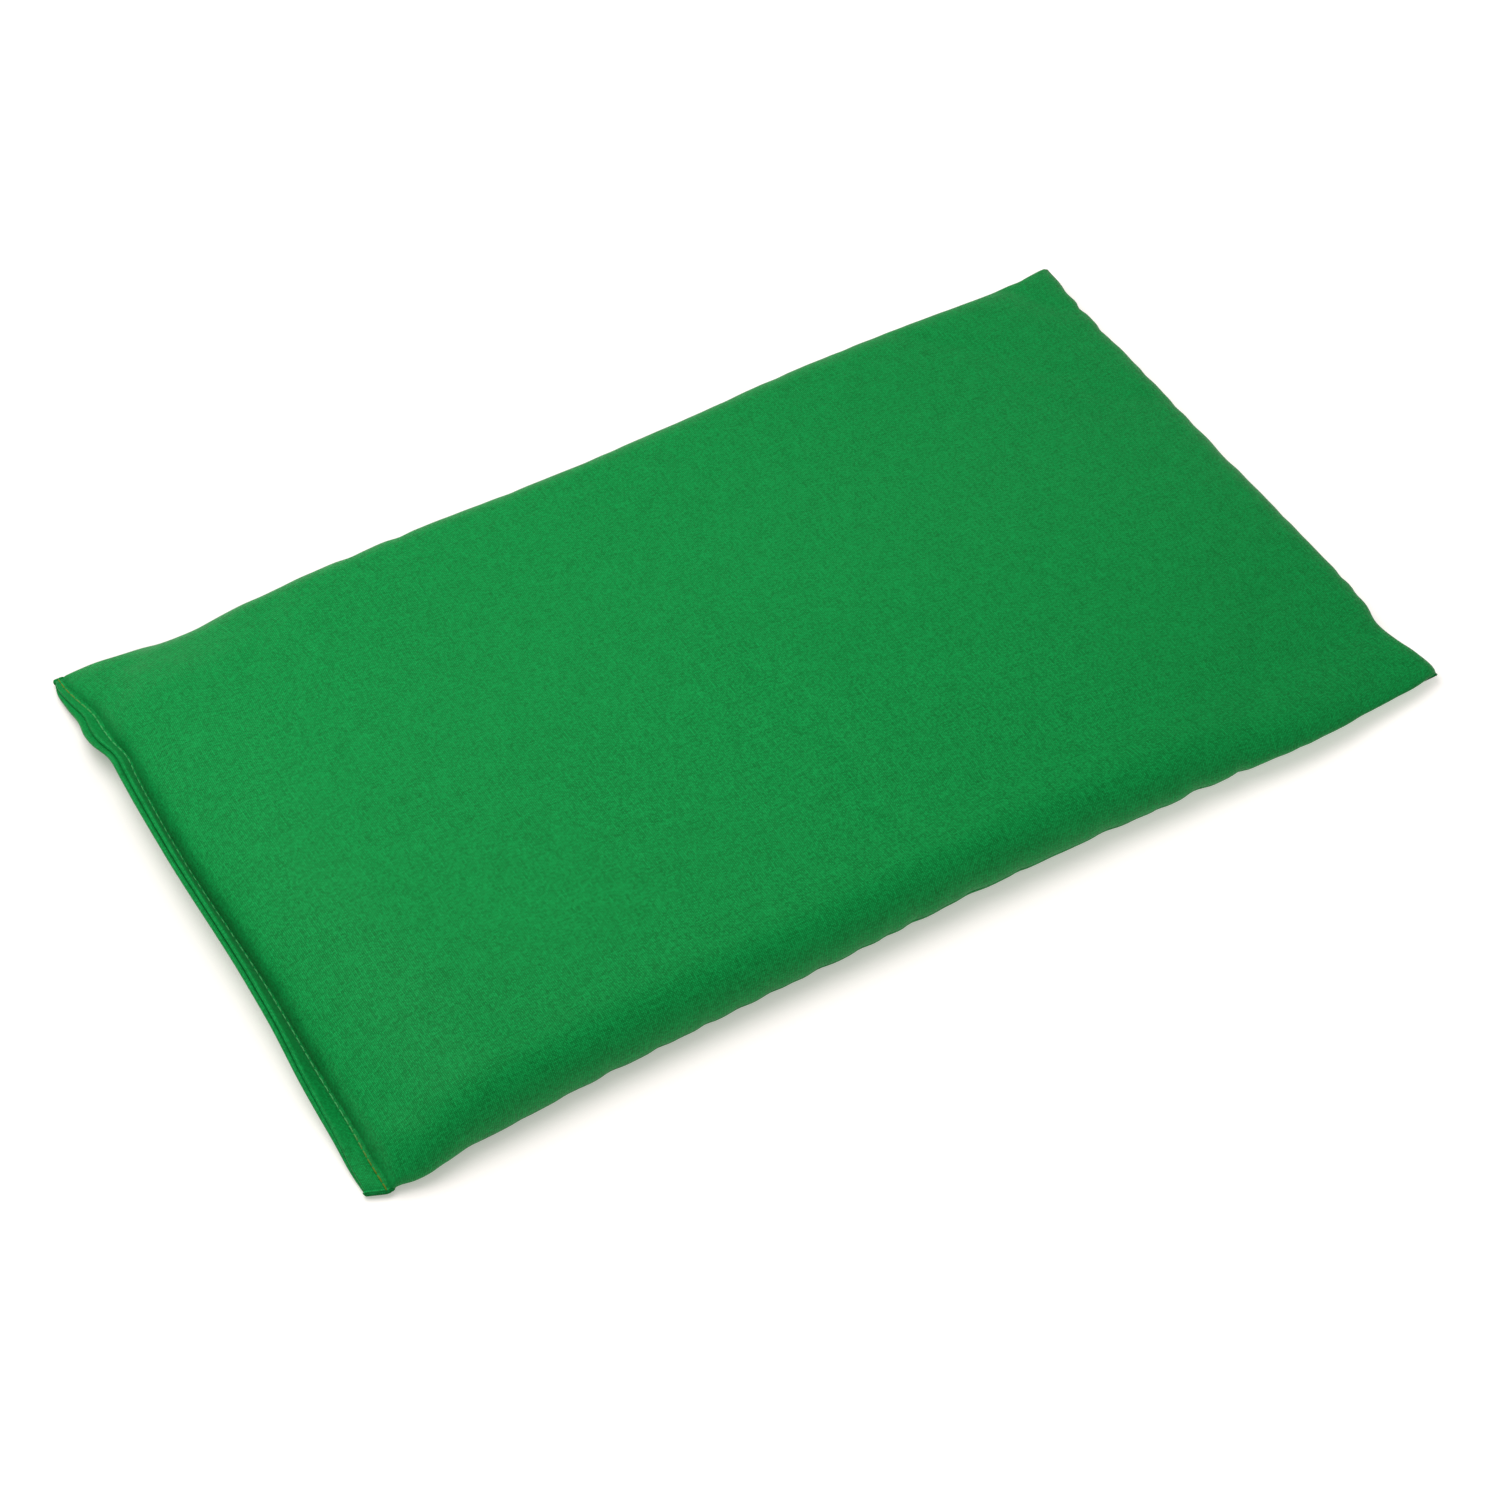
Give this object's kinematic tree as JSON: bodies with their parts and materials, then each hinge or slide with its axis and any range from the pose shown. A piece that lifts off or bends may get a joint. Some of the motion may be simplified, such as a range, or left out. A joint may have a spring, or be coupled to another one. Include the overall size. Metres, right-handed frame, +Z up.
{
  "type": "eye pillow",
  "caption": "Flat rectangular eye pillow: two green cotton panels sewn round a loose seed fill, with plain turned seams and one topstitched closing edge.",
  "frame": {"origin": "under the middle of the pillow, on the surface that it lies on", "axes": "+X along the pillow from the topstitched closing edge to the end seam, +Y across it from the front seam to the back seam, +Z up"},
  "size_m": [0.25, 0.147, 0.017],
  "materials": {
    "green_cotton": "matte plain-weave cotton",
    "flax_seed": "smooth brown seeds",
    "sewing_thread": "twisted polyester thread"
  },
  "bodies": {
    "root": {"top_panel": "green_cotton", "bottom_panel": "green_cotton", "seed_fill": "flax_seed", "front_seam_needle_thread": "sewing_thread", "front_seam_bobbin_thread": "sewing_thread", "back_seam_needle_thread": "sewing_thread", "back_seam_bobbin_thread": "sewing_thread", "end_seam_needle_thread": "sewing_thread", "end_seam_bobbin_thread": "sewing_thread", "closing_seam_needle_thread": "sewing_thread", "closing_seam_bobbin_thread": "sewing_thread"}
  },
  "joints": []
}
